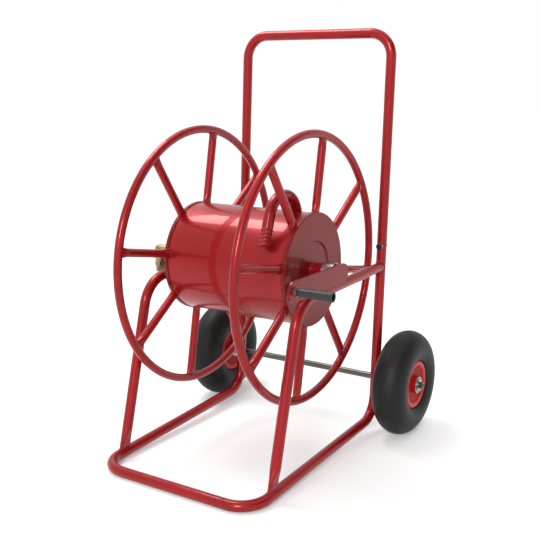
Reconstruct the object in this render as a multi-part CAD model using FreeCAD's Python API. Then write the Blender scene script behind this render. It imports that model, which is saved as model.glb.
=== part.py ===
import FreeCAD, Part
import math
import os

V = FreeCAD.Vector

# Axes: +X along the reel axis towards the crank, +Y back towards the handle, +Z up.
# The origin is on the floor, midway between the front bar and the back of the tyres.

# Frame tubes
tube_r = 12.0
tube_wall = 1.5
frame_half_width = 203.0
front_corner_r = 62.0
rear_bend_r = 60.0
rail_rear_z = 34.5
upright_foot_y = 210.0
upright_top_y = 246.5
handle_top_z = 975.5
handle_corner_r = 56.0
handle_seam_z = 492.0

# Legs that carry the reel
leg_foot_y = -274.0
leg_elbow_y = -173.5
leg_elbow_z = 408.5
arm_rear_z = 418.5
elbow_r = 76.0
foot_half_thickness = 5.0
foot_half_width = 15.5
foot_flat = 20.0
foot_taper = 24.0

# Joint between the handle and the uprights
sleeve_r = 10.45
sleeve_wall = 1.5
sleeve_below = 62.0
sleeve_above = 55.0
handle_bolt_r = 4.0
handle_bolt_below = 23.0
bolt_hole_slack = 0.2

# Reel
reel_y = -36.0
reel_z = 451.0
reel_start_angle = 80.0
hoop_r = 300.0
hoop_tube_r = 9.5
hoop_wall = 1.5
hoop_seam = 0.08
hoop_x = 150.0
spoke_count = 8
spoke_r = 9.5
spoke_wall = 1.2
spoke_half_thickness = 6.0
spoke_half_width = 12.0
spoke_flat = 8.0
spoke_taper = 13.0
round_flat_angle = 35.0
drum_r = 127.0
drum_wall = 1.5
disc_face_x = 162.5
disc_r = 129.0
disc_sheet = 2.0
disc_lip = 8.0
dish_r = 65.0
dish_depth = 3.0
dish_wall_run = 3.0

# Shaft, journals and bearings
shaft_r = 16.85
shaft_wall = 3.0
shaft_end_x = 188.0
shaft_hole_x = 163.5
shaft_hole_r = 2.4
journal_r = 12.5
journal_inner_x = 140.0
journal_bore_r = 6.0
bearing_r = 22.0
bearing_x0 = 190.0
bearing_x1 = 216.0
running_gap = 0.05
saddle_half_y = 17.0
saddle_half_x = 11.5
saddle_height = 16.0

# Crank
crank_boss_r = 20.0
crank_boss_x0 = 217.5
crank_x = 230.0
crank_thickness = 6.0
crank_half_width = 22.5
crank_length = 207.0
pin_r = 5.0
pin_nut_thickness = 5.5
pin_nut_flats = 17.0
grip_x0 = 242.0
grip_x1 = 322.0
grip_r_inner = 8.4
grip_r_outer = 10.4
grip_pocket_r = 8.0
grip_pocket_depth = 12.0
pin_head_r = 7.2
pin_head_thickness = 5.0

# Water outlet on the drum
outlet_x = 110.0
outlet_angle = 86.0
outlet_pipe_r = 12.5
outlet_bore_r = 9.5
outlet_bend_r = 54.0
outlet_top_z = 619.0
outlet_tail_y = -163.0
outlet_tail_z = 517.0
outlet_tail_angle = 18.0
tail_length = 42.0
tail_root_r = 12.2
tail_crest_r = 13.6
tail_barbs = 5

# Swivel inlet at the left end
spigot_r = 8.5
collar_r = 10.4
gland_x0 = 222.0
gland_x1 = 235.0
gland_flats = 28.0
collar_length = 4.0
spigot_end_x = 262.0
inlet_x = 279.0
inlet_body_r = 12.8
inlet_leg_r = 11.8
inlet_bore_r = 7.0
inlet_hex_flats = 24.0
inlet_hex_z = 29.0
inlet_hex_height = 11.0
inlet_thread_r = 10.48
inlet_thread_length = 15.0
seal_length = 6.0

# Wheels
wheel_r = 130.0
tyre_section_r = 43.0
carcass_inner_r = 37.0
wheel_x = 273.5
hub_r = 22.0
hub_half_length = 38.5
bearing_seat_r = 20.0
bearing_width = 12.0
axle_r = 8.0
axle_bore_r = 5.0
axle_half_length = 323.0
washer_r = 15.0
washer_thickness = 2.0
pin_wire_r = 1.6
split_pin_x = 317.5
spacer_r = 11.5
valve_r = 4.0
valve_offset = 31.0
valve_start_x = 6.0
valve_length = 33.0
seat_r = 56.0
seat_inner_r = 53.5
seat_x = 26.0
seat_inner_x = 23.0
lip_start_x = 28.5
lip_start_r = 60.3
lip_crest_x = 33.6
lip_crest_r = 54.0
lip_end_x = 31.2
lip_end_r = 47.4
rim_dish_x = 29.0
rim_dish_r = 45.4
rim_sheet = 2.5
tyre_edge_r = 61.0
tyre_toe_x = 21.0
tyre_heel_x = 25.7
tyre_flange_x = 28.1
bead_gap = 0.15
inner_race_r = 11.8
outer_race_r = 17.2
shield_depth = 1.0

X_AXIS = V(1, 0, 0)
Y_AXIS = V(0, 1, 0)
Z_AXIS = V(0, 0, 1)

lean = math.atan2(upright_top_y - upright_foot_y, handle_top_z - rail_rear_z)


def upright_y(z):
    return upright_foot_y + (z - rail_rear_z) * math.tan(lean)


wheel_y = upright_y(wheel_r) + (tube_r + axle_r + running_gap) / math.cos(lean)
front_bar_y = -(wheel_y + wheel_r - tube_r)


def rail_z(y):
    share = (y - front_bar_y) / (upright_foot_y - front_bar_y)
    return tube_r + share * (rail_rear_z - tube_r)


def arm_z(y):
    share = (y - leg_elbow_y) / (upright_y(arm_rear_z) - leg_elbow_y)
    return leg_elbow_z + share * (arm_rear_z - leg_elbow_z)


def save(name, shapes):
    """Writes one node, as one solid or as a group of separate solids."""
    solids = [solid for shape in shapes for solid in shape.Solids]
    for solid in solids:
        if not solid.isValid() or solid.Volume <= 0:
            print("check", name, solid.isValid(), round(solid.Volume, 1))
    whole = solids[0] if len(solids) == 1 else Part.makeCompound(solids)
    whole.exportStep("parts/" + name + ".step")
    print(name, len(solids), round(whole.Volume))


def rod(x0, x1, radius, y=reel_y, z=reel_z):
    """A round bar along X."""
    return Part.makeCylinder(radius, abs(x1 - x0), V(min(x0, x1), y, z), X_AXIS)


def ring(x0, x1, outer, inner, y=reel_y, z=reel_z):
    return rod(x0, x1, outer, y, z).cut(rod(x0 - 1, x1 + 1, inner, y, z))


def hexagon_bar(centre, axis, flats, length):
    """A hexagonal bar that starts at centre and runs along axis."""
    corner = flats / math.sqrt(3)
    points = [V(corner * math.cos(math.radians(60 * k)), corner * math.sin(math.radians(60 * k)), 0)
              for k in range(7)]
    bar = Part.Face(Part.makePolygon(points)).extrude(V(0, 0, length))
    bar.Placement = FreeCAD.Placement(centre, FreeCAD.Rotation(Z_AXIS, axis))
    return bar


def bent_path(points, radii):
    """Straight runs through the points, joined by tangent arcs of the given radii."""
    edges = []
    start = points[0]
    for before, corner, after, radius in zip(points, points[1:], points[2:], radii):
        back = (before - corner).normalize()
        ahead = (after - corner).normalize()
        half = back.getAngle(ahead) / 2
        reach = radius / math.tan(half)
        middle = corner + (back + ahead).normalize() * (radius / math.sin(half) - radius)
        edges.append(Part.LineSegment(start, corner + back * reach).toShape())
        edges.append(Part.Arc(corner + back * reach, middle, corner + ahead * reach).toShape())
        start = corner + ahead * reach
    edges.append(Part.LineSegment(start, points[-1]).toShape())
    return Part.Wire(edges)


def swept(points, radii, radius):
    path = bent_path(points, radii)
    direction = (points[1] - points[0]).normalize()
    profile = Part.Wire(Part.makeCircle(radius, points[0], direction))
    body = path.makePipeShell([profile], True, False)
    ideal = math.pi * radius ** 2 * path.Length
    if abs(body.Volume / ideal - 1) > 0.01:
        print("sweep volume is off", body.Volume / ideal)
    return body


def bent_tube(points, radii, outer, wall):
    return swept(points, radii, outer).cut(swept(points, radii, outer - wall))


def pinched_outline(z, half_thickness, half_width):
    """A pinched tube's outline: two flats that face +X and -X, joined by round sides."""
    a = half_thickness
    flat = max(half_width - a, a * math.sin(math.radians(round_flat_angle)))
    nose = max(half_width, a)
    bulge = math.sqrt(max(a * a - flat * flat, 0.0)) if half_width <= a else a
    right = [V(bulge, -flat, z), V(a, 0, z), V(bulge, flat, z)]
    left = [V(-bulge, flat, z), V(-a, 0, z), V(-bulge, -flat, z)]
    if half_width <= a:
        faces = [Part.Arc(*right).toShape(), Part.Arc(*left).toShape()]
    else:
        faces = [Part.LineSegment(right[0], right[2]).toShape(), Part.LineSegment(left[0], left[2]).toShape()]
    sides = [Part.Arc(right[2], V(0, nose, z), left[0]).toShape(),
             Part.Arc(left[2], V(0, -nose, z), right[0]).toShape()]
    return Part.Wire([faces[0], sides[0], faces[1], sides[1]])


def flattened_bar(sections, shrink):
    """A loft along Z through (z, half thickness in X, half width in Y) sections."""
    wires = [pinched_outline(z, a - shrink, b - shrink) for z, a, b in sections]
    return Part.makeLoft(wires, True, True)


def place_along(shape, origin, direction):
    """Moves a shape built up Z so that Z points along direction, keeping its X axis along X."""
    z = V(direction).normalize()
    y = z.cross(X_AXIS).normalize()
    matrix = FreeCAD.Matrix(1, y.x, z.x, origin.x,
                            0, y.y, z.y, origin.y,
                            0, y.z, z.z, origin.z,
                            0, 0, 0, 1)
    moved = shape.copy()
    moved.Placement = FreeCAD.Placement(matrix)
    return moved


def polar(angle, radius, x=0.0):
    """A point about the reel axis, with the angle measured from +Y towards +Z."""
    a = math.radians(angle)
    return V(x, reel_y + radius * math.cos(a), reel_z + radius * math.sin(a))


def turned(profile, y, z, x=0.0, side=1):
    """Revolves an (axial, radial) outline about an axis along X through (x, y, z).

    Each item is a point, or ("arc", middle, end) for a round stretch.
    """
    def point(p):
        return V(x + side * p[0], y, z + p[1])

    edges = []
    last = profile[0]
    for item in profile[1:] + [profile[0]]:
        if item[0] == "arc":
            edges.append(Part.Arc(point(last), point(item[1]), point(item[2])).toShape())
            last = item[2]
        else:
            edges.append(Part.LineSegment(point(last), point(item)).toShape())
            last = item
    return Part.Face(Part.Wire(edges)).revolve(V(0, y, z), X_AXIS, 360)


def at_upright(side, z, shape):
    """Moves a shape built around the origin onto an upright, leaning with it."""
    moved = shape.copy()
    moved.Placement = FreeCAD.Placement(V(side * frame_half_width, upright_y(z), z),
                                        FreeCAD.Rotation(X_AXIS, -math.degrees(lean)))
    return moved


# ---- Frame ----

def upright_point(side, z):
    return V(side * frame_half_width, upright_y(z), z)


bolt_z = handle_seam_z - handle_bolt_below


def handle_bolt_bore(radius):
    return Part.makeCylinder(radius, 4 * tube_r, V(0, -2 * tube_r, 0), Y_AXIS)


def base_frame():
    w = frame_half_width
    points = [upright_point(-1, handle_seam_z), V(-w, upright_foot_y, rail_rear_z),
              V(-w, front_bar_y, tube_r), V(w, front_bar_y, tube_r),
              V(w, upright_foot_y, rail_rear_z), upright_point(1, handle_seam_z)]
    radii = [rear_bend_r, front_corner_r, front_corner_r, rear_bend_r]
    body = bent_tube(points, radii, tube_r, tube_wall)
    for side in (-1, 1):
        body = body.cut(at_upright(side, bolt_z, handle_bolt_bore(handle_bolt_r + bolt_hole_slack)))
    return body


def handle_hoop():
    seam = handle_seam_z + running_gap
    points = [upright_point(-1, seam), upright_point(-1, handle_top_z),
              upright_point(1, handle_top_z), upright_point(1, seam)]
    return bent_tube(points, [handle_corner_r, handle_corner_r], tube_r, tube_wall)


def handle_sleeves():
    tubes = []
    for side in (-1, 1):
        length = sleeve_below + sleeve_above
        tube = Part.makeCylinder(sleeve_r, length, V(0, 0, -sleeve_below))
        tube = tube.cut(Part.makeCylinder(sleeve_r - sleeve_wall, length, V(0, 0, -sleeve_below)))
        tube = at_upright(side, handle_seam_z, tube)
        tubes.append(tube.cut(at_upright(side, bolt_z, handle_bolt_bore(handle_bolt_r + bolt_hole_slack))))
    return tubes


head_height = 5.3
head_flats = 13.0
washer_height = 1.6
handle_washer_r = 8.0
nut_height = 6.5
thread_end = 4.0


def handle_bolts():
    bolts = []
    for side in (-1, 1):
        front = -tube_r - washer_height
        length = washer_height + 2 * tube_r + nut_height + thread_end
        bolt = Part.makeCylinder(handle_bolt_r, length, V(0, front, 0), Y_AXIS)
        bolt = bolt.fuse(hexagon_bar(V(0, front - head_height, 0), Y_AXIS, head_flats, head_height))
        bolts.append(at_upright(side, bolt_z, bolt))
    return bolts


def handle_washers():
    washers = []
    for side in (-1, 1):
        disc = Part.makeCylinder(handle_washer_r, tube_r, V(0, -tube_r - washer_height, 0), Y_AXIS)
        disc = disc.cut(Part.makeCylinder(handle_bolt_r + bolt_hole_slack, 10, V(0, -tube_r - 5, 0), Y_AXIS))
        disc = disc.cut(Part.makeCylinder(tube_r, 40, V(0, 0, -20)))
        washers.append(at_upright(side, bolt_z, disc))
    return washers


def handle_nuts():
    nuts = []
    for side in (-1, 1):
        nut = hexagon_bar(V(0, tube_r, 0), Y_AXIS, head_flats, nut_height)
        nut = nut.cut(Part.makeCylinder(handle_bolt_r, 40, V(0, 0, 0), Y_AXIS))
        nuts.append(at_upright(side, bolt_z, nut))
    return nuts


def leg(side):
    """A tube that rises from its flattened foot and bends back to meet the upright."""
    x = side * frame_half_width
    foot = V(x, leg_foot_y, rail_z(leg_foot_y))
    elbow = V(x, leg_elbow_y, leg_elbow_z)
    rear = V(x, upright_y(arm_rear_z), arm_rear_z)
    up = (elbow - foot).normalize()
    pinch = tube_r + foot_flat + foot_taper
    start = foot + up * pinch
    tube = bent_tube([start, elbow, rear], [elbow_r], tube_r, tube_wall)
    sections = [(0, foot_half_thickness, foot_half_width),
                (tube_r + foot_flat, foot_half_thickness, foot_half_width),
                (pinch, tube_r, tube_r)]
    blade = flattened_bar(sections, 0).cut(flattened_bar(sections, tube_wall))
    tube = tube.fuse(place_along(blade, foot, up))
    solid_rail = swept([V(x, front_bar_y, tube_r), V(x, upright_foot_y, rail_rear_z),
                        upright_point(side, handle_seam_z)], [rear_bend_r], tube_r)
    return max(tube.cut(solid_rail).Solids, key=lambda s: s.Volume)


def bearing(side):
    ends = sorted((side * bearing_x0, side * bearing_x1))
    return ring(ends[0], ends[1], bearing_r, journal_r + running_gap)


def saddle(side):
    """The block between an arm and the bearing that it carries."""
    middle_x = side * (bearing_x0 + bearing_x1) / 2
    corner = V(middle_x - saddle_half_x, reel_y - saddle_half_y, arm_z(reel_y))
    block = Part.makeBox(2 * saddle_half_x, 2 * saddle_half_y, saddle_height + tube_r, corner)
    block = block.cut(rod(middle_x - 30, middle_x + 30, bearing_r))
    arm_start = V(side * frame_half_width, leg_elbow_y, leg_elbow_z)
    arm_end = V(side * frame_half_width, upright_y(arm_rear_z), arm_rear_z)
    along = arm_end - arm_start
    block = block.cut(Part.makeCylinder(tube_r, along.Length, arm_start, along))
    return max(block.Solids, key=lambda s: s.BoundBox.ZMax)


# ---- Axle ----

def wheel_axle():
    bar = rod(-axle_half_length, axle_half_length, axle_r, wheel_y, wheel_r)
    bar = bar.cut(rod(-axle_half_length - 1, axle_half_length + 1, axle_bore_r, wheel_y, wheel_r))
    for side in (-1, 1):
        bar = bar.cut(Part.makeCylinder(pin_wire_r + bolt_hole_slack, 4 * axle_r,
                                        V(side * split_pin_x, wheel_y, wheel_r - 2 * axle_r), Z_AXIS))
    return bar


hub_inner_x = wheel_x - hub_half_length
hub_outer_x = wheel_x + hub_half_length
side_gap = 0.3


def axle_washers():
    pieces = []
    for side in (-1, 1):
        for start in (hub_inner_x - side_gap - washer_thickness, hub_outer_x + side_gap):
            ends = sorted((side * start, side * (start + washer_thickness)))
            pieces.append(ring(ends[0], ends[1], washer_r, axle_r + running_gap, wheel_y, wheel_r))
    return pieces


def axle_spacers():
    pieces = []
    inner = frame_half_width + tube_r + 1.5
    outer = hub_inner_x - 2 * side_gap - washer_thickness
    for side in (-1, 1):
        ends = sorted((side * inner, side * outer))
        pieces.append(ring(ends[0], ends[1], spacer_r, axle_r + running_gap, wheel_y, wheel_r))
    return pieces


def split_pins():
    """A ring-headed pin through each end of the axle."""
    pins = []
    leg_length = 2 * axle_r + 8
    for side in (-1, 1):
        x = side * split_pin_x
        top = wheel_r + axle_r + 2
        pin = Part.makeCylinder(pin_wire_r, leg_length, V(x, wheel_y, top - leg_length), Z_AXIS)
        eye = Part.makeTorus(3.4, pin_wire_r, V(x, wheel_y, top + 2.4), X_AXIS)
        pins.append(pin.fuse(eye))
    return pins


# ---- Reel ----

def drum_shell():
    inner_x = disc_face_x - disc_sheet
    return ring(-inner_x, inner_x, drum_r, drum_r - drum_wall)


def end_disc(side):
    """A pressed end: rolled over the drum at its rim, with a round dish in the middle."""
    face = disc_face_x
    floor = disc_face_x - dish_depth
    profile = [
        (face, disc_r - disc_sheet),
        ("arc", (face - 0.6, disc_r - 0.6), (face - disc_sheet, disc_r)),
        (face - disc_sheet - disc_lip, disc_r),
        (face - disc_sheet - disc_lip, drum_r + running_gap),
        (face - disc_sheet, drum_r + running_gap),
        (face - disc_sheet, dish_r + disc_sheet),
        (floor - disc_sheet, dish_r - dish_wall_run + disc_sheet),
        (floor - disc_sheet, shaft_r),
        (floor, shaft_r),
        (floor, dish_r - dish_wall_run),
        (face, dish_r),
    ]
    return turned(profile, reel_y, reel_z, 0, side)


def hoop_solid(side):
    return Part.makeTorus(hoop_r, hoop_tube_r, V(side * hoop_x, reel_y, reel_z), X_AXIS)


def hoop(side):
    """A rolled tube whose ends meet at a hairline seam between two spokes."""
    start = polar(0, hoop_r, side * hoop_x)
    outer = Part.Face(Part.Wire(Part.makeCircle(hoop_tube_r, start, Z_AXIS)))
    inner = Part.Face(Part.Wire(Part.makeCircle(hoop_tube_r - hoop_wall, start, Z_AXIS)))
    section = outer.cut(inner).Faces[0]
    body = section.revolve(V(0, reel_y, reel_z), X_AXIS, 360 - hoop_seam)
    body.rotate(V(0, reel_y, reel_z), X_AXIS, reel_start_angle - 180 - 180 / spoke_count)
    return body


def spokes(side):
    """Tubes flattened where they meet the drum and the hoop."""
    r0 = drum_r - 2
    r1 = hoop_r - hoop_tube_r / 2
    inner_flat = r0 + spoke_flat
    outer_flat = r1 - spoke_flat
    flat = (spoke_half_thickness, spoke_half_width)
    sections = [(r0, *flat), (inner_flat, *flat), (inner_flat + spoke_taper, spoke_r, spoke_r),
                (outer_flat - spoke_taper, spoke_r, spoke_r), (outer_flat, *flat), (r1, *flat)]
    bar = flattened_bar(sections, 0).cut(flattened_bar(sections, spoke_wall))
    spoke = place_along(bar, polar(0, 0, side * hoop_x), Z_AXIS)
    reach = 3 * hoop_tube_r
    drum = rod(side * hoop_x - reach, side * hoop_x + reach, drum_r)
    spoke = spoke.cut(drum).cut(end_disc(side)).cut(hoop_solid(side))
    spoke = max(spoke.Solids, key=lambda s: s.Volume)
    pieces = []
    for k in range(spoke_count):
        piece = spoke.copy()
        piece.rotate(V(0, reel_y, reel_z), X_AXIS, reel_start_angle - 90 + 360 / spoke_count * k)
        pieces.append(piece)
    return pieces


def reel_shaft():
    body = ring(-shaft_end_x, shaft_end_x, shaft_r, shaft_r - shaft_wall)
    inlet_hole = Part.makeCylinder(outlet_bore_r, 2 * shaft_r, polar(0, 0, outlet_x),
                                   polar(outlet_angle, 1) - polar(0, 0))
    marker = Part.makeCylinder(shaft_hole_r, 2 * shaft_r, polar(0, 0, shaft_hole_x), Z_AXIS)
    return body.cut(inlet_hole).cut(marker)


def journal_profile(sections):
    """A stepped bar along X from (x0, x1, radius) stretches."""
    body = rod(*sections[0])
    for stretch in sections[1:]:
        body = body.fuse(rod(*stretch))
    return body.removeSplitter()


def right_journal():
    plug = shaft_r - shaft_wall
    return journal_profile([(journal_inner_x, shaft_end_x, plug), (shaft_end_x, crank_x, journal_r)])


def left_journal():
    plug = shaft_r - shaft_wall
    body = journal_profile([
        (-journal_inner_x, -shaft_end_x, plug),
        (-shaft_end_x, -gland_x0 + 4, journal_r),
        (-gland_x0 + 4, -spigot_end_x, spigot_r),
        (-gland_x1 - running_gap, -gland_x1 - collar_length, collar_r),
    ])
    return body.cut(rod(-spigot_end_x - 1, -journal_inner_x + 1, journal_bore_r))


def crank_boss():
    return ring(crank_boss_x0, crank_x, crank_boss_r, journal_r)


def crank_arm():
    """A flat bar with round ends that points forward from the shaft."""
    pin_y = reel_y - crank_length
    plate = rod(crank_x, crank_x + crank_thickness, crank_half_width)
    plate = plate.fuse(rod(crank_x, crank_x + crank_thickness, crank_half_width, pin_y))
    bar = Part.makeBox(crank_thickness, crank_length, 2 * crank_half_width,
                       V(crank_x, pin_y, reel_z - crank_half_width))
    plate = plate.fuse(bar).removeSplitter()
    plate = plate.cut(rod(crank_x - 1, crank_x + 10, pin_r, pin_y))
    rims = [e for e in plate.Edges if abs(e.BoundBox.XMax - e.BoundBox.XMin) < 1e-6
            and e.BoundBox.ZLength > 2.5 * pin_r or e.BoundBox.YLength > crank_length / 2]
    return plate.makeFillet(0.8, rims)


crank_pin_y = reel_y - crank_length
crank_outer_x = crank_x + crank_thickness
pin_tail_x = crank_x - pin_nut_thickness - 2


def crank_pin():
    """The bolt that the grip turns on; its head sits in the pocket of the grip."""
    head_x = grip_x1 - grip_pocket_depth + side_gap
    bolt = rod(pin_tail_x, head_x, pin_r, crank_pin_y)
    return bolt.fuse(rod(head_x, head_x + pin_head_thickness, pin_head_r, crank_pin_y)).removeSplitter()


def pin_nuts():
    nuts = []
    for start in (crank_outer_x, crank_x - pin_nut_thickness):
        nut = hexagon_bar(V(start, crank_pin_y, reel_z), X_AXIS, pin_nut_flats, pin_nut_thickness)
        nuts.append(nut.cut(rod(start - 1, start + pin_nut_thickness + 1, pin_r, crank_pin_y)))
    return nuts


def crank_grip():
    pocket_x = grip_x1 - grip_pocket_depth
    start = crank_outer_x + pin_nut_thickness + side_gap
    profile = [
        (start, pin_r + running_gap),
        (start, grip_r_inner - 0.8),
        ("arc", (start + 0.25, grip_r_inner - 0.25), (start + 0.8, grip_r_inner)),
        (grip_x1 - 1.2, grip_r_outer),
        ("arc", (grip_x1 - 0.35, grip_r_outer - 0.35), (grip_x1, grip_r_outer - 1.2)),
        (grip_x1, grip_pocket_r),
        (pocket_x, grip_pocket_r),
        (pocket_x, pin_r + running_gap),
    ]
    return turned(profile, crank_pin_y, reel_z)


# ---- Water outlet ----

def outlet_points():
    """Up out of the drum, over the top, then down and forward close to the drum."""
    a = math.radians(outlet_angle)
    first = polar(outlet_angle, (outlet_top_z - reel_z) / math.sin(a), outlet_x)
    tilt = math.radians(outlet_tail_angle)
    ahead = V(0, -math.sin(tilt), -math.cos(tilt))
    end = V(outlet_x, outlet_tail_y, outlet_tail_z)
    second = end - ahead * ((outlet_top_z - outlet_tail_z) / math.cos(tilt))
    return first, second, end - ahead * tail_length, ahead


def outlet_bar(start_radius, radius):
    first, second, end, _ = outlet_points()
    points = [polar(outlet_angle, start_radius, outlet_x), first, second, end]
    return swept(points, [outlet_bend_r, outlet_bend_r], radius)


def outlet_pipe():
    start_radius = shaft_r - shaft_wall + 1
    pipe = outlet_bar(start_radius, outlet_pipe_r).cut(outlet_bar(start_radius, outlet_bore_r))
    return pipe.cut(rod(outlet_x - 40, outlet_x + 40, shaft_r))


def hose_tail():
    """A ribbed spigot that a hose is clamped on."""
    _, _, end, ahead = outlet_points()
    pitch = tail_length / tail_barbs
    profile = [V(outlet_bore_r, 0, 0), V(tail_root_r, 0, 0)]
    for k in range(tail_barbs):
        base = k * pitch
        profile.append(V(tail_root_r, 0, base + 0.45 * pitch))
        profile.append(V(tail_crest_r, 0, base + 0.6 * pitch))
        profile.append(V(tail_root_r, 0, base + pitch))
    profile.append(V(outlet_bore_r, 0, tail_length))
    profile.append(profile[0])
    tail = Part.Face(Part.makePolygon(profile)).revolve(V(0, 0, 0), Z_AXIS, 360)
    return place_along(tail, end, ahead)


# ---- Swivel inlet ----

def inlet_elbow():
    """A brass elbow that turns on the end of the shaft, with its leg hanging down."""
    body = rod(-gland_x1, -inlet_x, inlet_body_r)
    body = body.fuse(Part.makeSphere(inlet_body_r, V(-inlet_x, reel_y, reel_z)))
    down = V(0, 0, -1)
    centre = V(-inlet_x, reel_y, reel_z)
    body = body.fuse(Part.makeCylinder(inlet_leg_r, inlet_hex_z, centre, down))
    hex_top = centre + down * inlet_hex_z
    body = body.fuse(hexagon_bar(hex_top, down, inlet_hex_flats, inlet_hex_height))
    thread_top = hex_top + down * inlet_hex_height
    body = body.fuse(Part.makeCylinder(inlet_thread_r, inlet_thread_length, thread_top, down))
    leg_length = inlet_hex_z + inlet_hex_height + inlet_thread_length
    body = body.cut(Part.makeCylinder(inlet_bore_r, leg_length + 1, centre, down))
    body = body.cut(rod(-inlet_x, -spigot_end_x, inlet_bore_r))
    body = body.cut(rod(-spigot_end_x - 1, -gland_x1, spigot_r + running_gap))
    body = body.cut(rod(-gland_x1 - collar_length - seal_length - running_gap, -gland_x1 + 1,
                        collar_r + running_gap))
    return body


def inlet_seal():
    start = -gland_x1 - collar_length - running_gap
    return ring(start - seal_length + running_gap, start - running_gap, collar_r, spigot_r + running_gap)


def inlet_gland():
    """The hexagon nut that holds the elbow behind the shaft's collar."""
    nut = hexagon_bar(V(-gland_x1, reel_y, reel_z), X_AXIS, gland_flats, gland_x1 - gland_x0)
    return nut.cut(rod(-gland_x1 - 1, -gland_x0 + 1, spigot_r + running_gap))


# ---- Wheels ----

def tyre(side):
    centre_r = wheel_r - tyre_section_r
    edge_x = math.sqrt(tyre_section_r ** 2 - (centre_r - tyre_edge_r) ** 2)
    toe_r = centre_r - math.sqrt(carcass_inner_r ** 2 - tyre_toe_x ** 2)
    heel = seat_r + bead_gap
    flange_r = tyre_edge_r - bead_gap
    profile = [
        (edge_x, tyre_edge_r),
        ("arc", (0, wheel_r), (-edge_x, tyre_edge_r)),
        (-tyre_flange_x, flange_r), (-tyre_heel_x, heel), (-tyre_toe_x, heel), (-tyre_toe_x, toe_r),
        ("arc", (0, centre_r + carcass_inner_r), (tyre_toe_x, toe_r)),
        (tyre_toe_x, heel), (tyre_heel_x, heel), (tyre_flange_x, flange_r),
    ]
    return turned(profile, wheel_y, wheel_r, side * wheel_x)


def rim_half(side, face):
    """Half of a wheel: bead seat, wide rolled lip and shallow dish. Face is +1 outboard."""
    shoulder = (lip_crest_x - 1.3, lip_crest_r + 4.4)
    rounding = (lip_crest_x - 0.6, lip_crest_r - 4.0)
    profile = [
        (0, seat_r), (seat_x, seat_r), (lip_start_x, lip_start_r),
        ("arc", shoulder, (lip_crest_x, lip_crest_r)),
        ("arc", rounding, (lip_end_x, lip_end_r)),
        (rim_dish_x, rim_dish_r), (rim_dish_x, hub_r), (rim_dish_x - rim_sheet, hub_r),
        (rim_dish_x - rim_sheet, rim_dish_r), (seat_inner_x, seat_inner_r - rim_sheet),
        (seat_inner_x, seat_inner_r), (0, seat_inner_r),
    ]
    half = turned(profile, wheel_y, wheel_r, side * wheel_x, side * face)
    if face < 0:
        half = half.cut(valve_body(side, running_gap))
    return half


def wheel_hub(side):
    x = side * wheel_x
    seat_x = hub_half_length - bearing_width
    body = ring(x - hub_half_length, x + hub_half_length, hub_r, bearing_seat_r - 3, wheel_y, wheel_r)
    for ends in ((x - hub_half_length - 1, x - seat_x), (x + seat_x, x + hub_half_length + 1)):
        body = body.cut(rod(ends[0], ends[1], bearing_seat_r, wheel_y, wheel_r))
    return body


def wheel_bearings(side):
    """Ball bearings as single rings with sunk shields."""
    near = shield_depth
    far = bearing_width - shield_depth
    profile = [(0, axle_r + running_gap), (bearing_width, axle_r + running_gap), (bearing_width, inner_race_r),
               (far, inner_race_r), (far, outer_race_r), (bearing_width, outer_race_r),
               (bearing_width, bearing_seat_r), (0, bearing_seat_r), (0, outer_race_r), (near, outer_race_r),
               (near, inner_race_r), (0, inner_race_r)]
    starts = (side * wheel_x - hub_half_length, side * wheel_x + hub_half_length - bearing_width)
    return [turned(profile, wheel_y, wheel_r, start) for start in starts]


def valve_body(side, grow=0.0):
    """The tyre valve, on the side of the wheel that faces the frame."""
    start = V(side * (wheel_x - valve_start_x), wheel_y, wheel_r + valve_offset)
    return Part.makeCylinder(valve_r + grow, valve_length, start, V(-side, 0, 0))


# ---- Every node ----

def main():
    os.makedirs("parts", exist_ok=True)

    save("base_frame", [base_frame()])
    save("handle_hoop", [handle_hoop()])
    save("handle_sleeves", handle_sleeves())
    save("handle_bolts", handle_bolts())
    save("handle_washers", handle_washers())
    save("handle_nuts", handle_nuts())
    save("wheel_axle", [wheel_axle()])
    save("axle_washers", axle_washers())
    save("axle_spacers", axle_spacers())
    save("split_pins", split_pins())

    save("drum_shell", [drum_shell().cut(outlet_bar(drum_r / 2, outlet_pipe_r))])
    save("reel_shaft", [reel_shaft()])
    save("left_journal", [left_journal()])
    save("right_journal", [right_journal()])
    save("outlet_pipe", [outlet_pipe()])
    save("hose_tail", [hose_tail()])
    save("crank_boss", [crank_boss()])
    save("crank_arm", [crank_arm()])
    save("crank_pin", [crank_pin()])
    save("pin_nuts", pin_nuts())
    save("crank_grip", [crank_grip()])
    save("inlet_elbow", [inlet_elbow()])
    save("inlet_gland", [inlet_gland()])
    save("inlet_seal", [inlet_seal()])

    for name, side in (("left", -1), ("right", 1)):
        save(name + "_leg", [leg(side)])
        save(name + "_saddle", [saddle(side)])
        save(name + "_bearing", [bearing(side)])
        save(name + "_end_disc", [end_disc(side)])
        save(name + "_hoop", [hoop(side)])
        save(name + "_spokes", spokes(side))
        save(name + "_tyre", [tyre(side)])
        save(name + "_rim_outer", [rim_half(side, 1)])
        save(name + "_rim_inner", [rim_half(side, -1)])
        save(name + "_hub", [wheel_hub(side)])
        save(name + "_wheel_bearings", wheel_bearings(side))
        save(name + "_valve", [valve_body(side)])


main()
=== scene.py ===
import bpy
import math
from mathutils import Matrix, Vector


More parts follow.
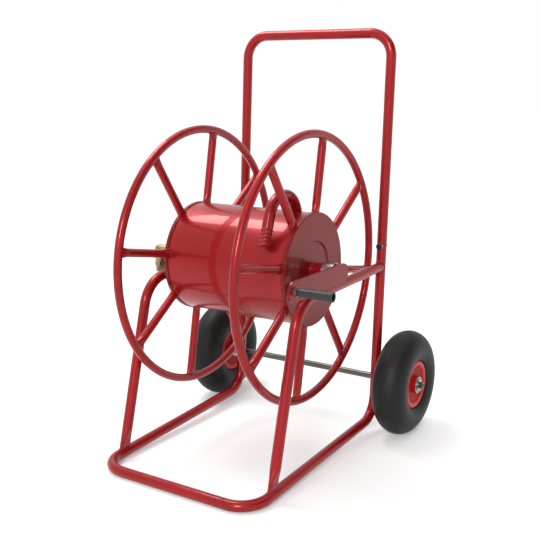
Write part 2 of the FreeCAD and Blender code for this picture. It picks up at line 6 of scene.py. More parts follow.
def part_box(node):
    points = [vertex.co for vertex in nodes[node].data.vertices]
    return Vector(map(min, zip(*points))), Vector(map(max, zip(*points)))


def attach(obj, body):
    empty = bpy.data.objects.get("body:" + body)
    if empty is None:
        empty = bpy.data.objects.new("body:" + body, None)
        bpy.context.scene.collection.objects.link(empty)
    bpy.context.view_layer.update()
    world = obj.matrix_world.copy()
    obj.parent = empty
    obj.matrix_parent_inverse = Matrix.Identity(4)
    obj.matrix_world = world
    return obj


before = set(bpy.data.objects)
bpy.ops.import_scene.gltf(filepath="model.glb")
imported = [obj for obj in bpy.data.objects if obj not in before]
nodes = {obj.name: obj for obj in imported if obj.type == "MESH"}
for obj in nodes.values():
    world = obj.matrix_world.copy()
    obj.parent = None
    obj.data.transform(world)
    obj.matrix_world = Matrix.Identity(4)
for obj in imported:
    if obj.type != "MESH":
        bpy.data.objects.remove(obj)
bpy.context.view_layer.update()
print("frame loaded,", len(nodes), "nodes")


def clearSelection():
    if bpy.context.object and bpy.context.object.mode != 'OBJECT':
        bpy.ops.object.mode_set(mode='OBJECT')
    bpy.ops.object.select_all(action='DESELECT')


def makeActive(piece):
    clearSelection()
    piece.select_set(True)
    bpy.context.view_layer.objects.active = piece


def pick(piece, kind, test):
    # selects the vertices, edges or faces of a piece that pass the test, and leaves it in edit mode
    makeActive(piece)
    bpy.ops.object.mode_set(mode='EDIT')
    bpy.ops.mesh.select_mode(type=kind)
    bpy.ops.mesh.select_all(action='DESELECT')
    bpy.ops.object.mode_set(mode='OBJECT')
    mesh = piece.data
    if kind == 'VERT':
        for vert in mesh.vertices:
            vert.select = bool(test(vert.co))
    elif kind == 'EDGE':
        for edge in mesh.edges:
            a, b = (mesh.vertices[k].co for k in edge.vertices)
            edge.select = bool(test((a + b) / 2, (b - a).normalized()))
    else:
        for face in mesh.polygons:
            face.select = bool(test(face.center, face.normal))
    bpy.ops.object.mode_set(mode='EDIT')


def pickAll(piece):
    makeActive(piece)
    bpy.ops.object.mode_set(mode='EDIT')
    bpy.ops.mesh.select_all(action='SELECT')


def leaveEdit():
    bpy.ops.object.mode_set(mode='OBJECT')


def outward(piece):
    pickAll(piece)
    bpy.ops.mesh.remove_doubles(threshold=0.000005)
    bpy.ops.mesh.normals_make_consistent(inside=False)
    leaveEdit()


def smooth(piece, angle=35):
    makeActive(piece)
    bpy.ops.object.shade_smooth_by_angle(angle=math.radians(angle))


def placed(source, name, matrix):
    # a copy with its own mesh, moved in the mesh
    twin = source.copy()
    twin.data = source.data.copy()
    twin.name = name
    twin.data.name = name
    bpy.context.collection.objects.link(twin)
    twin.data.transform(matrix)
    if matrix.determinant() < 0:
        twin.data.flip_normals()
    return twin


def joined(pieces, name):
    clearSelection()
    for piece in pieces:
        piece.select_set(True)
    bpy.context.view_layer.objects.active = pieces[0]
    if len(pieces) > 1:
        bpy.ops.object.join()
    whole = bpy.context.object
    whole.name = name
    whole.data.name = name
    return whole


def drop(piece):
    bpy.data.objects.remove(piece, do_unlink=True)


def frameAt(origin, direction, side):
    # a place whose Z runs along direction and whose X lies near side
    z = Vector(direction).normalized()
    x = Vector(side)
    x = (x - z * x.dot(z)).normalized()
    y = z.cross(x)
    matrix = Matrix((x, y, z)).transposed().to_4x4()
    matrix.translation = Vector(origin)
    return matrix


class Wire:
    def __init__(self, maker, socket):
        self.maker = maker
        self.socket = socket

    def __add__(self, other):
        return self.maker.math('ADD', self, other)

    __radd__ = __add__

    def __sub__(self, other):
        return self.maker.math('SUBTRACT', self, other)

    def __rsub__(self, other):
        return self.maker.math('SUBTRACT', other, self)

    def __mul__(self, other):
        return self.maker.math('MULTIPLY', self, other)


class Finish:
    def __init__(self, name):
        self.material = bpy.data.materials.new(name)
        self.material.use_nodes = True
        self.tree = self.material.node_tree
        self.tree.nodes.clear()
        self.shader = self.tree.nodes.new('ShaderNodeBsdfPrincipled')
        output = self.tree.nodes.new('ShaderNodeOutputMaterial')
        self.tree.links.new(self.shader.outputs[0], output.inputs['Surface'])
        self.place = self.node('ShaderNodeTexCoord', out='Object')

    def feed(self, socket, value):
        if isinstance(value, Wire):
            self.tree.links.new(value.socket, socket)
        else:
            socket.default_value = value

    def node(self, kind, settings=None, out=0, **inputs):
        made = self.tree.nodes.new(kind)
        for key, value in (settings or {}).items():
            setattr(made, key, value)
        for key, value in inputs.items():
            spot = int(key[1:]) if key[0] == 'i' and key[1:].isdigit() else key.replace('_', ' ')
            self.feed(made.inputs[spot], value)
        return Wire(self, made.outputs[out])

    def math(self, operation, a, b=0.0):
        return self.node('ShaderNodeMath', {'operation': operation}, i0=a, i1=b)

    def split(self, vector):
        parts = self.tree.nodes.new('ShaderNodeSeparateXYZ')
        self.feed(parts.inputs[0], vector)
        return [Wire(self, parts.outputs[k]) for k in range(3)]

    def stretched(self, scale):
        return self.node('ShaderNodeMapping', {}, Vector=self.place, Scale=scale)

    def noise(self, scale, detail=2.0, rough=0.5, where=None):
        return self.node('ShaderNodeTexNoise', {}, out='Fac', Vector=where or self.place,
                         Scale=scale, Detail=detail, Roughness=rough)

    def step(self, value, low, high, low2=0.0, high2=1.0):
        return self.node('ShaderNodeMapRange', {'interpolation_type': 'SMOOTHSTEP'}, i0=value,
                         i1=low, i2=high, i3=low2, i4=high2)

    def blend(self, factor, a, b):
        made = self.tree.nodes.new('ShaderNodeMix')
        made.data_type = 'RGBA'
        self.feed(made.inputs[0], factor)
        self.feed(made.inputs[6], a if isinstance(a, Wire) else (*a, 1))
        self.feed(made.inputs[7], b if isinstance(b, Wire) else (*b, 1))
        return Wire(self, made.outputs[2])

    def bump(self, height, strength, distance, under=None):
        inputs = {'Height': height, 'Strength': strength, 'Distance': distance}
        if under:
            inputs['Normal'] = under
        return self.node('ShaderNodeBump', {}, **inputs)

    def ring(self, distance, at, width):
        # 1 on the line where distance equals at, falling to 0 at width from it
        return self.step(self.math('ABSOLUTE', distance - at), 0.0, width, 1.0, 0.0)

    def surface(self, **values):
        for key, value in values.items():
            self.feed(self.shader.inputs[key.replace('_', ' ')], value)
        return self.material


def acrossAxis(finish, axis):
    # how far a place is behind and above a line along X
    parts = finish.split(finish.place)
    return parts[1] - axis.y, parts[2] - axis.z


def radiusAbout(finish, axis):
    dy, dz = acrossAxis(finish, axis)
    return finish.math('SQRT', dy * dy + dz * dz)


def angleAbout(finish, axis):
    dy, dz = acrossAxis(finish, axis)
    return finish.math('ARCTAN2', dz, dy)


def middle(name):
    low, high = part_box(name)
    return (Vector(low) + Vector(high)) / 2


reelAxis = middle("reel_shaft")
wheelCentre = middle("right_tyre")
hoopBox = [Vector(corner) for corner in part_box("right_hoop")]
hoopTube = (hoopBox[1].x - hoopBox[0].x) / 2
hoopX = (hoopBox[0].x + hoopBox[1].x) / 2
hoopRadius = (hoopBox[1].z - hoopBox[0].z) / 2 - hoopTube
drumBox = [Vector(corner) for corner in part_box("drum_shell")]
drumRadius = (drumBox[1].z - drumBox[0].z) / 2


# sizes in these tables are in metres, and scales are in cycles per metre
paintLook = {
    "colour": (0.285, 0.0058, 0.0078),
    "deepColour": (0.240, 0.0046, 0.0064),
    "dustColour": (0.55, 0.42, 0.40),
    "roughness": 0.30,
    "coat": 0.42,
    "coatRoughness": 0.05,
    "coatIndex": 1.43,
    "specular": 0.18,
    "metal": 0.38,
    "peelScale": 420.0,
    "peelStrength": 0.045,
    "peelDepth": 0.0006,
    "pitScale": 1500.0,
    "pitDepth": 0.0003,
    "dust": 0.05,
}


def redPaint(name, extra=None, look=None):
    values = dict(paintLook, **(look or {}))
    f = Finish(name)
    cloud = f.noise(5.0, 3.0)
    fine = f.noise(60.0, 4.0, 0.6)
    mix = f.step(cloud * 0.7 + fine * 0.3, 0.38, 0.62)
    colour = f.blend(mix, values["deepColour"], values["colour"])
    up = f.split(f.node('ShaderNodeNewGeometry', out='Normal'))[2]
    dust = f.step(up, 0.55, 0.98) * f.step(f.noise(28.0, 5.0, 0.65), 0.42, 0.75) * values["dust"]
    colour = f.blend(dust, colour, values["dustColour"])
    rough = values["roughness"] + f.noise(34.0, 3.0) * 0.08 + dust * 1.5
    coat = f.step(f.noise(12.0, 2.0), 0.2, 0.8, 0.92, 1.0)
    peel = f.bump(f.noise(values["peelScale"], 1.5), values["peelStrength"], values["peelDepth"])
    pits = f.step(f.noise(values["pitScale"], 0.0), 0.74, 0.80)
    normal = f.bump(pits, 0.06, values["pitDepth"], peel)
    if extra:
        colour, rough, normal = extra(f, colour, rough, normal)
    return f.surface(Base_Color=colour, Roughness=rough, Normal=normal, Metallic=values["metal"],
                     Coat_Weight=coat * values["coat"], Coat_Roughness=values["coatRoughness"],
                     Coat_IOR=values["coatIndex"], Specular_IOR_Level=values["specular"])


scrapeLook = {"bare": (0.16, 0.13, 0.12), "full": 0.0015, "none": 0.0045, "depth": 0.0004}


def scrapedUnder(f, colour, rough, normal):
    # the bar that stands on the ground is rubbed along its underside
    z = f.split(f.place)[2]
    low = f.step(z, scrapeLook["full"], scrapeLook["none"], 1.0, 0.0)
    rubbed = low * f.step(f.noise(90.0, 6.0, 0.7), 0.38, 0.52)
    colour = f.blend(rubbed, colour, scrapeLook["bare"])
    return colour, rough + rubbed * 0.3, f.bump(rubbed * -1.0, 0.3, scrapeLook["depth"], normal)


seamLook = {"degrees": -64, "halfWidth": 0.016, "ripples": 2600.0, "height": 0.0011, "waveDepth": 0.012}


def seamedDrum(f, colour, rough, normal):
    # the sheet is rolled round and welded along one line under the drum
    seam = f.ring(angleAbout(f, reelAxis), math.radians(seamLook["degrees"]), seamLook["halfWidth"])
    ripple = f.math('SINE', f.split(f.place)[0] * seamLook["ripples"]) * 0.25 + 0.75
    normal = f.bump(seam * ripple, 0.5, seamLook["height"], normal)
    waves = f.noise(3.2, 1.0, where=f.stretched((1.6, 1.0, 1.0)))
    return colour, rough, f.bump(waves, 0.05, seamLook["waveDepth"], normal)


lipLook = {"colour": (0.44, 0.040, 0.036), "start": 0.0450, "end": 0.0478, "dullness": 0.26,
           "gritScale": 700.0, "gritDepth": 0.0003}


def dishedRim(f, colour, rough, normal):
    # the rolled lip is glossier, as if polished by handling, and is painted a lighter red as a painted
    # highlight; the dish inside it is duller and dusty
    radius = radiusAbout(f, wheelCentre)
    lip = f.step(radius, lipLook["start"], lipLook["end"])
    # painted highlight: the lip is blended towards a lighter red
    colour = f.blend(lip, colour, lipLook["colour"])
    rough = rough + (1.0 - lip) * lipLook["dullness"]
    grit = f.noise(lipLook["gritScale"], 3.0, 0.7)
    return colour, rough, f.bump(grit, 0.10, lipLook["gritDepth"], normal)


discLook = {"rings": 5200.0, "ringDepth": 0.0004, "waveScale": 7.0, "waveDepth": 0.008}


def spunDisc(f, colour, rough, normal):
    radius = radiusAbout(f, reelAxis)
    rings = f.math('SINE', radius * discLook["rings"]) * 0.5 + f.noise(40.0, 2.0)
    normal = f.bump(rings, 0.035, discLook["ringDepth"], normal)
    waves = f.noise(discLook["waveScale"], 1.0)
    return colour, rough, f.bump(waves, 0.04, discLook["waveDepth"], normal)


drumPaint = {"peelStrength": 0.03}
# painted shade: the end discs and the crank arm get darker copies of the red, for the dimmer side they
# face
discShadedPaint = {"peelStrength": 0.03, "coat": 0.27,
             "colour": (0.175, 0.0052, 0.0066), "deepColour": (0.150, 0.0044, 0.0056)}
crankShadedPaint = {"coat": 0.27, "colour": (0.190, 0.0052, 0.0066), "deepColour": (0.160, 0.0044, 0.0056)}
rimPaint = {"coat": 0.10, "metal": 0.10, "roughness": 0.36, "specular": 0.12,
            "colour": (0.33, 0.0060, 0.0050), "deepColour": (0.27, 0.005, 0.0042)}

paint = {
    "frame": redPaint("framePaint", scrapedUnder),
    "drum": redPaint("drumPaint", seamedDrum, drumPaint),
    "disc": redPaint("discShadedPaint", spunDisc, discShadedPaint),
    "reel": redPaint("reelPaint"),
    "crank": redPaint("crankShadedPaint", None, crankShadedPaint),
    "rim": redPaint("rimPaint", dishedRim, rimPaint),
}


steelLook = {"grooves": (2600.0, 60.0, 60.0), "grooveDepth": 0.0003, "stain": (0.24, 0.17, 0.12),
             "shield": (0.015, 0.015, 0.015), "shieldEdge": 0.0002}


def shaded(colour, share):
    return tuple(channel * share for channel in colour)


def turnedSteel(name, colour, axis, rough, shield=None):
    # steel turned on a lathe, with fine grooves round its axis and a dark ring for a bearing's shield
    f = Finish(name)
    grain = f.noise(1.0, 3.0, 0.6, where=f.stretched(steelLook["grooves"]))
    film = f.noise(45.0, 4.0, 0.6)
    stain = f.step(f.noise(16.0, 4.0, 0.65), 0.5, 0.72)
    tone = f.blend(film, shaded(colour, 0.82), colour)
    tone = f.blend(stain * 0.35, tone, steelLook["stain"])
    if shield:
        radius = radiusAbout(f, axis)
        inner, outer = shield
        edge = steelLook["shieldEdge"]
        sunk = f.step(radius, inner, inner + edge) * f.step(radius, outer - edge, outer, 1.0, 0.0)
        tone = f.blend(sunk, tone, steelLook["shield"])
    return f.surface(Base_Color=tone, Metallic=1.0, Roughness=rough + film * 0.12 + stain * 0.1,
                     Normal=f.bump(grain, 0.10, steelLook["grooveDepth"]))


zincLook = {"colour": (0.46, 0.455, 0.45), "roughness": 0.2, "spangle": 160.0, "depth": 0.0003}


def platedSteel():
    f = Finish("zincPlate")
    colour = zincLook["colour"]
    mottled = f.noise(zincLook["spangle"], 4.0, 0.6)
    broad = f.noise(30.0, 3.0)
    tone = f.blend(mottled, shaded(colour, 0.75), colour)
    tone = f.blend(f.step(broad, 0.55, 0.75) * 0.3, tone, shaded(colour, 0.55))
    return f.surface(Base_Color=tone, Metallic=0.92, Roughness=zincLook["roughness"] + mottled * 0.16,
                     Normal=f.bump(mottled, 0.12, zincLook["depth"]))


boltLook = {"colour": (0.018, 0.018, 0.02), "rubbed": (0.16, 0.15, 0.15),
            "grain": 500.0, "depth": 0.0002}


def blackBolt():
    f = Finish("blackBolt")
    grain = f.noise(boltLook["grain"], 3.0)
    rub = f.step(f.noise(120.0, 4.0, 0.7), 0.56, 0.7)
    tone = f.blend(rub * 0.5, boltLook["colour"], boltLook["rubbed"])
    return f.surface(Base_Color=tone, Metallic=0.6, Roughness=0.42 + grain * 0.14,
                     Normal=f.bump(grain, 0.15, boltLook["depth"]))


brassLook = {"bright": (0.37, 0.305, 0.155), "dull": (0.24, 0.19, 0.09), "spots": (0.16, 0.10, 0.05),
             "threadPitch": 0.00181, "threadDepth": 0.0008, "threadEnd": 0.0146, "threadFade": 0.0006}


def brassFinish():
    f = Finish("dullBrass")
    z = f.split(f.place)[2]
    film = f.noise(70.0, 5.0, 0.65)
    tone = f.blend(f.step(film, 0.35, 0.7), brassLook["bright"], brassLook["dull"])
    spots = f.step(f.noise(260.0, 2.0), 0.66, 0.74)
    tone = f.blend(spots * 0.6, tone, brassLook["spots"])
    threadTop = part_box("inlet_elbow")[0][2] + brassLook["threadEnd"]
    onThread = f.step(z, threadTop, threadTop + brassLook["threadFade"], 1.0, 0.0)
    groove = f.math('SINE', z * (math.tau / brassLook["threadPitch"])) * onThread
    normal = f.bump(groove, 0.9, brassLook["threadDepth"])
    normal = f.bump(f.noise(900.0, 2.0), 0.08, 0.0003, normal)
    return f.surface(Base_Color=tone, Metallic=1.0, Roughness=0.30 + film * 0.22, Normal=normal)


tyreLook = {
    "colour": (0.0040, 0.0040, 0.0042),
    "dusty": (0.0095, 0.0092, 0.009),
    "roughness": 0.45,
    "specular": 0.26,
    "tread": (0.118, 0.130),
    "mouldLine": 0.0007,
    "rings": ((0.0685, 0.0009), (0.0735, 0.0007), (0.104, 0.0006)),
    "ringDepth": 0.0009,
}


def tyreFinish(name, side):
    f = Finish(name)
    centre = middle(side + "_tyre")
    x = f.split(f.place)[0]
    radius = radiusAbout(f, centre)
    grain = f.noise(1300.0, 2.0)
    cloud = f.noise(22.0, 4.0, 0.6)
    worn = f.step(radius, *tyreLook["tread"]) * f.step(cloud, 0.35, 0.7)
    tone = f.blend(cloud * 0.35 + worn * 0.45, tyreLook["colour"], tyreLook["dusty"])
    raised = f.ring(x, centre.x, tyreLook["mouldLine"])
    for at, halfWidth in tyreLook["rings"]:
        raised = raised + f.ring(radius, at, halfWidth)
    normal = f.bump(raised, 0.5, tyreLook["ringDepth"])
    normal = f.bump(grain, 0.12, 0.0003, normal)
    return f.surface(Base_Color=tone, Roughness=tyreLook["roughness"] + grain * 0.12 + worn * 0.12,
                     Normal=normal, Specular_IOR_Level=tyreLook["specular"])


gripLook = {"colour": (0.008, 0.009, 0.009), "light": (0.015, 0.016, 0.016),
            "grain": 1100.0, "depth": 0.0003}


def gripFinish():
    f = Finish("gripPlastic")
    grain = f.noise(gripLook["grain"], 2.0)
    tone = f.blend(f.noise(50.0, 3.0), gripLook["colour"], gripLook["light"])
    return f.surface(Base_Color=tone, Roughness=0.36 + grain * 0.14,
                     Normal=f.bump(grain, 0.25, gripLook["depth"]))


rubberLook = {"colour": (0.014, 0.014, 0.014), "light": (0.03, 0.03, 0.03),
              "grain": 800.0, "depth": 0.0003}


def rubberFinish():
    f = Finish("blackRubber")
    grain = f.noise(rubberLook["grain"], 3.0)
    return f.surface(Base_Color=f.blend(grain, rubberLook["colour"], rubberLook["light"]),
                     Roughness=0.55 + grain * 0.2, Normal=f.bump(grain, 0.2, rubberLook["depth"]))


metalLook = {
    "axle": (0.145, 0.135, 0.13),
    "journal": (0.50, 0.45, 0.43),
    "roller": (0.62, 0.61, 0.60),
    "race": (0.40, 0.39, 0.385),
    "shieldRing": (0.0118, 0.0172),
}
metal = {
    "axle": turnedSteel("axleSteel", metalLook["axle"], wheelCentre, 0.26),
    "reel": turnedSteel("journalSteel", metalLook["journal"], reelAxis, 0.24),
    "bearing": turnedSteel("bearingSteel", metalLook["roller"], wheelCentre, 0.22),
    "race": turnedSteel("raceSteel", metalLook["race"], wheelCentre, 0.22, metalLook["shieldRing"]),
    "black": blackBolt(),
    "zinc": platedSteel(),
}

brass = brassFinish()
finishes = {
    "handle_sleeves": metal["zinc"], "handle_bolts": metal["black"],
    "handle_washers": metal["zinc"], "handle_nuts": metal["zinc"],
    "wheel_axle": metal["axle"], "axle_washers": metal["zinc"], "axle_spacers": metal["axle"],
    "split_pins": metal["zinc"], "drum_shell": paint["drum"], "crank_arm": paint["crank"],
    "crank_pin": metal["black"], "pin_nuts": metal["zinc"], "crank_grip": gripFinish(),
    "inlet_elbow": brass, "inlet_gland": brass, "inlet_seal": rubberFinish(),
}
for name in ("base_frame", "handle_hoop"):
    finishes[name] = paint["frame"]
for name in ("reel_shaft", "outlet_pipe", "hose_tail", "crank_boss"):
    finishes[name] = paint["reel"]
pairedFinishes = {
    "leg": paint["frame"], "saddle": paint["frame"], "bearing": metal["reel"], "journal": metal["reel"],
    "end_disc": paint["disc"], "hoop": paint["reel"], "spokes": paint["reel"],
    "rim_outer": paint["rim"], "rim_inner": paint["rim"], "hub": paint["rim"],
    "wheel_bearings": metal["race"],
}
for side in ("left", "right"):
    for name, material in pairedFinishes.items():
        finishes[side + "_" + name] = material
    finishes[side + "_tyre"] = tyreFinish(side + "Tyre", side)
    finishes[side + "_valve"] = rubberFinish()


def dress(piece, material):
    piece.data.materials.clear()
    piece.data.materials.append(material)


for name, node in nodes.items():
    for spot in node.material_slots:
        spot.material = finishes[name]
    if not node.material_slots:
        node.data.materials.append(finishes[name])
print("finishes made")


weldShape = {"bead": 0.0019, "segments": 36, "uneven": 0.14, "clear": 0.05}


def beadLoop(halfAlong, halfAcross, barRadius, corner=1.0):
    # a bead round a foot of the given half sizes that stands on a round bar lying along X
    # a corner value under 1 makes the loop squarer
    def swell(value):
        return math.copysign(abs(value) ** corner, value)

    count = weldShape["segments"]
    clear = Vector((0, 0, weldShape["clear"]))
    bpy.ops.mesh.primitive_torus_add(major_radius=halfAlong, minor_radius=weldShape["bead"],
                                     major_segments=count, minor_segments=8)
    bead = bpy.context.object
    # each section moves clear of the ones not yet placed, and the whole loop comes back at the end
    for k in range(count):
        turn = math.tau * k / count
        start = Vector((halfAlong * math.cos(turn), halfAlong * math.sin(turn), 0))
        x = halfAlong * swell(math.cos(turn))
        y = halfAcross * swell(math.sin(turn))
        down = barRadius - math.sqrt(max(barRadius ** 2 - y ** 2, 0.0)) if barRadius else 0.0
        goal = Vector((x, y, -down))
        pick(bead, 'VERT', lambda co: abs(math.remainder(math.atan2(co.y, co.x) - turn, math.tau)) < 0.02
             and abs(co.z) < weldShape["bead"] * 1.01)
        size = 1 + weldShape["uneven"] * (1 if k % 2 else -0.7)
        bpy.ops.transform.resize(value=(size, size, size), center_override=start)
        bpy.ops.transform.translate(value=(goal - start) + clear)
    pickAll(bead)
    bpy.ops.transform.translate(value=-clear)
    leaveEdit()
    outward(bead)
    smooth(bead, 60)
    return bead


def gather(name, body, material, spots):
    # joins copies of small shapes, given as (shape, matrix) pairs, into one piece
    copies = [placed(shape, name + str(k), matrix) for k, (shape, matrix) in enumerate(spots)]
    piece = joined(copies, name)
    dress(piece, material)
    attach(piece, body)


reelWeld = {"spokes": 8, "firstSpoke": 80, "wide": 0.0120, "narrow": 0.0062, "lip": 0.002,
            "above": 0.0004, "dishDepth": 0.003}
sides = (("left", -1), ("right", 1))

shaftLow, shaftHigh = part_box("reel_shaft")
shaftRadius = (shaftHigh[2] - shaftLow[2]) / 2
hoopBead = beadLoop(reelWeld["wide"], reelWeld["narrow"], hoopTube)
drumBead = beadLoop(reelWeld["narrow"], reelWeld["wide"], drumRadius + reelWeld["lip"])
shaftBead = beadLoop(shaftRadius, shaftRadius, 0.0)
for side, sign in sides:
    spots = []
    centre = Vector((sign * hoopX, reelAxis.y, reelAxis.z))
    for k in range(reelWeld["spokes"]):
        turn = math.radians(reelWeld["firstSpoke"]) + math.tau * k / reelWeld["spokes"]
        outwards = Vector((0, math.cos(turn), math.sin(turn)))
        along = Vector((0, -math.sin(turn), math.cos(turn)))
        atHoop = centre + outwards * (hoopRadius - hoopTube)
        atDrum = centre + outwards * (drumRadius + reelWeld["above"])
        spots.append((hoopBead, frameAt(atHoop, -outwards, along)))
        spots.append((drumBead, frameAt(atDrum, outwards, (1, 0, 0))))
    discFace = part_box(side + "_end_disc")[0 if sign < 0 else 1][0]
    atDish = (discFace - sign * reelWeld["dishDepth"], reelAxis.y, reelAxis.z)
    spots.append((shaftBead, frameAt(atDish, (sign, 0, 0), (0, 1, 0))))
    gather(side + "ReelWelds", "reel", paint["reel"], spots)
for bead in (hoopBead, drumBead, shaftBead):
    drop(bead)
print("reel welds made")

frameWeld = {
    "halfWidth": 0.203, "tube": 0.012,
    "footY": -0.2709, "footZ": 0.0272, "railSlope": 0.040,
    "armZ": 0.4185, "armSlope": 0.0251, "elbowY": -0.1735, "elbowZ": 0.4085,
    "uprightFootY": 0.210, "uprightFootZ": 0.0345, "uprightLean": 0.03879,
    "foot": (0.0163, 0.0058), "arm": (0.0124, 0.0118), "axle": (0.0066, 0.0060),
    "saddle": (0.0172, 0.0113), "saddleCorner": 0.55,
}
tubeRadius = frameWeld["tube"]
uprightLean = frameWeld["uprightLean"]
footBead = beadLoop(*frameWeld["foot"], tubeRadius)
armBead = beadLoop(*frameWeld["arm"], tubeRadius)
saddleBead = beadLoop(*frameWeld["saddle"], tubeRadius, frameWeld["saddleCorner"])
axleBead = beadLoop(*frameWeld["axle"], tubeRadius)
alongUpright = Vector((0, uprightLean, 1)).normalized()
behindUpright = Vector((0, 1, -uprightLean)).normalized()


def uprightAt(sign, z):
    y = frameWeld["uprightFootY"] + (z - frameWeld["uprightFootZ"]) * uprightLean
    return Vector((sign * frameWeld["halfWidth"], y, z))


def onSlope(origin, slope):
    # a place on top of a bar that rises towards the back
    return frameAt(origin, (0, -slope, 1), (0, 1, slope))


spots = []
for side, sign in sides:
    x = sign * frameWeld["halfWidth"]
    armEnd = uprightAt(sign, frameWeld["armZ"]) - behindUpright * tubeRadius
    armRise = (reelAxis.y - frameWeld["elbowY"]) * frameWeld["armSlope"]
    saddleFoot = (x, reelAxis.y, frameWeld["elbowZ"] + armRise + tubeRadius)
    axleSpot = uprightAt(sign, wheelCentre.z) + behindUpright * tubeRadius
    foot = (x, frameWeld["footY"], frameWeld["footZ"])
    spots.append((footBead, onSlope(foot, frameWeld["railSlope"])))
    spots.append((armBead, frameAt(armEnd, -behindUpright, alongUpright)))
    spots.append((saddleBead, onSlope(saddleFoot, frameWeld["armSlope"])))
    spots.append((axleBead, frameAt(axleSpot, behindUpright, alongUpright)))
gather("frameWelds", "frame", paint["frame"], spots)
for bead in (footBead, armBead, saddleBead, axleBead):
    drop(bead)
print("frame welds made")

rollerLook = {"count": 11, "pitchRadius": 0.01445, "radius": 0.00105, "length": 0.0044, "round": 0.0004,
              "sunk": 0.0010}


def wheelRoller():
    # a short roller with rounded ends, lying along X
    length = rollerLook["length"]
    bpy.ops.mesh.primitive_cylinder_add(vertices=20, radius=rollerLook["radius"], depth=length)
    roller = bpy.context.object
    pick(roller, 'EDGE', lambda centre, along: abs(along.z) < 0.1 and abs(centre.z) > length * 0.4)
    bpy.ops.mesh.bevel(offset=rollerLook["round"], segments=3, affect='EDGES')
    bpy.ops.mesh.select_all(action='SELECT')
    bpy.ops.transform.rotate(value=math.pi / 2, orient_axis='Y', center_override=(0, 0, 0))
    leaveEdit()
    outward(roller)
    smooth(roller, 40)
    return roller


capLook = {"radius": 0.0050, "length": 0.0090, "ridges": 16, "groove": 0.90, "grooveInset": 0.0002,
           "topInset": 0.0009, "topRise": 0.0007, "over": 0.0012}


def valveCap():
    # a ridged cap, built along Z with its closed end at the top
    count = capLook["ridges"] * 2
    bpy.ops.mesh.primitive_cylinder_add(vertices=count, radius=capLook["radius"],
                                        depth=capLook["length"])
    cap = bpy.context.object
    pick(cap, 'FACE', lambda centre, normal: normal.z > 0.9)
    bpy.ops.mesh.inset(thickness=capLook["topInset"])
    bpy.ops.transform.translate(value=(0, 0, capLook["topRise"]))
    for k in range(capLook["ridges"]):
        turn = math.tau * (2 * k + 0.5) / count
        pick(cap, 'FACE', lambda centre, normal: abs(normal.z) < 0.1
             and abs(math.remainder(math.atan2(centre.y, centre.x) - turn, math.tau)) < 0.05)
        bpy.ops.mesh.inset(thickness=capLook["grooveInset"])
        bpy.ops.transform.resize(value=(capLook["groove"], capLook["groove"], 1),
                                 center_override=(0, 0, 0))
    leaveEdit()
    outward(cap)
    smooth(cap, 25)
    return cap


roller = wheelRoller()
cap = valveCap()
for side, sign in sides:
    centre = middle(side + "_tyre")
    hubLow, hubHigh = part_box(side + "_hub")
    spots = []
    for faceX in (hubLow[0] + rollerLook["sunk"], hubHigh[0] - rollerLook["sunk"]):
        for k in range(rollerLook["count"]):
            turn = math.tau * k / rollerLook["count"]
            outwards = Vector((0, math.cos(turn), math.sin(turn)))
            at = Vector((faceX, centre.y, centre.z)) + outwards * rollerLook["pitchRadius"]
            spots.append((roller, frameAt(at, (1, 0, 0), outwards)))
    gather(side + "WheelRollers", side + "_wheel", metal["bearing"], spots)
    valveLow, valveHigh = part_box(side + "_valve")
    tip = Vector((valveLow[0] if sign > 0 else valveHigh[0], centre.y, (valveLow[2] + valveHigh[2]) / 2))
    along = Vector((-sign, 0, 0))
    at = tip + along * (capLook["over"] - capLook["length"] / 2)
    gather(side + "ValveCap", side + "_wheel", finishes[side + "_valve"],
           [(cap, frameAt(at, along, (0, 1, 0)))])
drop(roller)
drop(cap)
print("rollers and valve caps made")

stageLook = {
    "floor": (0.76, 0.76, 0.76),
    "floorSize": 60,
    "floorGlow": 0.20,
    "sky": 1.0,
    "darkness": 0.92,
    "darkSide": (0.95, 0.31, 0.0),
    "darkFrom": (0.40, 0.70),
    "darkHeight": (0.26, 0.42),
    "topSky": 0.20,
    "topHeight": (0.45, 0.95),
    "panelPower": 30.0,
    "panelPlace": (-0.95, 0.12, 2.45),
    "panelAim": (0, 0, 0.5),
    "panelSize": (0.8, 1.0),
    "sunPower": 1.65,
    "sunWidth": 16.0,
    "sunTowards": (-0.25, 0.88, -0.42),
}

bpy.ops.mesh.primitive_plane_add(size=stageLook["floorSize"])
floor = bpy.context.object
floor.name = "paleFloor"
ground = Finish("paleFloor")
cloudy = ground.blend(ground.noise(3.0, 2.0), shaded(stageLook["floor"], 0.98), stageLook["floor"])
dress(floor, ground.surface(Base_Color=cloudy, Roughness=0.9, Specular_IOR_Level=0.1,
                            Emission_Color=(1, 1, 1, 1), Emission_Strength=stageLook["floorGlow"]))


def placeLamp(name, data, towards, at=(0, 0, 0)):
    lamp = bpy.data.objects.new(name, data)
    bpy.context.collection.objects.link(lamp)
    lamp.location = at
    lamp.rotation_euler = Vector(towards).to_track_quat('-Z', 'Y').to_euler()


panel = bpy.data.lights.new("topPanel", 'AREA')
panel.shape = 'RECTANGLE'
panel.size, panel.size_y = stageLook["panelSize"]
panel.energy = stageLook["panelPower"]
placeLamp("topPanel", panel, Vector(stageLook["panelAim"]) - Vector(stageLook["panelPlace"]),
          stageLook["panelPlace"])

sun = bpy.data.lights.new("frontSun", 'SUN')
sun.energy = stageLook["sunPower"]
sun.angle = math.radians(stageLook["sunWidth"])
placeLamp("frontSun", sun, stageLook["sunTowards"])

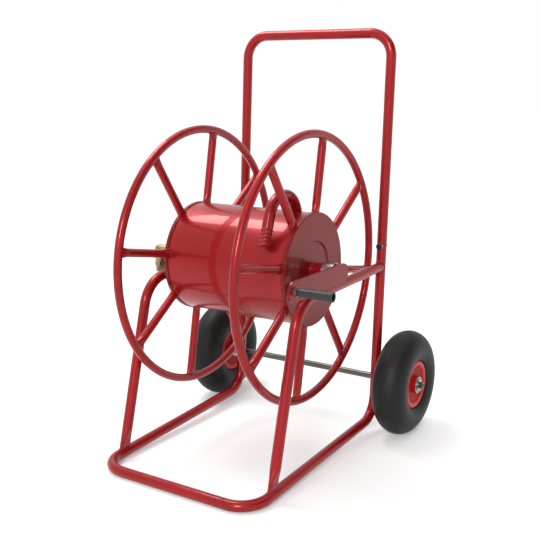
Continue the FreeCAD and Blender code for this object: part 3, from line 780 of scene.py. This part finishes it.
sky = bpy.data.worlds.new("paleRoom")
bpy.context.scene.world = sky
sky.use_nodes = True
skyNodes = sky.node_tree.nodes
skyLinks = sky.node_tree.links
backdrop = skyNodes['Background']
backdrop.inputs['Color'].default_value = (1, 1, 1, 1)
spot = skyNodes.new('ShaderNodeTexCoord')
parts = skyNodes.new('ShaderNodeSeparateXYZ')
skyLinks.new(spot.outputs['Generated'], parts.inputs[0])


def skyFade(source, span, amount):
    fade = skyNodes.new('ShaderNodeMapRange')
    fade.interpolation_type = 'SMOOTHSTEP'
    limits = {"From Min": span[0], "From Max": span[1], "To Min": 0.0, "To Max": amount}
    for socket, value in limits.items():
        fade.inputs[socket].default_value = value
    skyLinks.new(source, fade.inputs['Value'])
    return fade.outputs[0]


def skyMath(operation, a, b):
    made = skyNodes.new('ShaderNodeMath')
    made.operation = operation
    for socket, value in zip(made.inputs, (a, b)):
        if isinstance(value, float):
            socket.default_value = value
        else:
            skyLinks.new(value, socket)
    return made.outputs[0]


# the sky is darker high up on the crank side, out of sight behind the cart
towards = skyNodes.new('ShaderNodeVectorMath')
towards.operation = 'DOT_PRODUCT'
towards.inputs[1].default_value = stageLook["darkSide"]
skyLinks.new(spot.outputs['Generated'], towards.inputs[0])
height = parts.outputs[2]
sideShade = skyFade(towards.outputs['Value'], stageLook["darkFrom"], stageLook["darkness"])
shade = skyMath('MULTIPLY', sideShade, skyFade(height, stageLook["darkHeight"], 1.0))
level = skyMath('SUBTRACT', stageLook["sky"], shade)
level = skyMath('ADD', level, skyFade(height, stageLook["topHeight"], stageLook["topSky"]))
skyLinks.new(level, backdrop.inputs['Strength'])

cameraView = {"place": (1.1005, -1.7117, 0.8584), "yaw": 0.562, "pitch": -0.210, "roll": 0.007,
              "lens": 58.55}
cameraData = bpy.data.cameras.new("view")
cameraData.lens = cameraView["lens"]
cameraData.sensor_width = 36
camera = bpy.data.objects.new("view", cameraData)
bpy.context.collection.objects.link(camera)
camera.matrix_world = (Matrix.Translation(cameraView["place"])
                       @ Matrix.Rotation(cameraView["yaw"], 4, 'Z')
                       @ Matrix.Rotation(math.pi / 2 + cameraView["pitch"], 4, 'X')
                       @ Matrix.Rotation(cameraView["roll"], 4, 'Z'))
bpy.context.scene.camera = camera
bpy.context.scene.view_settings.view_transform = 'Standard'
print("stage set")
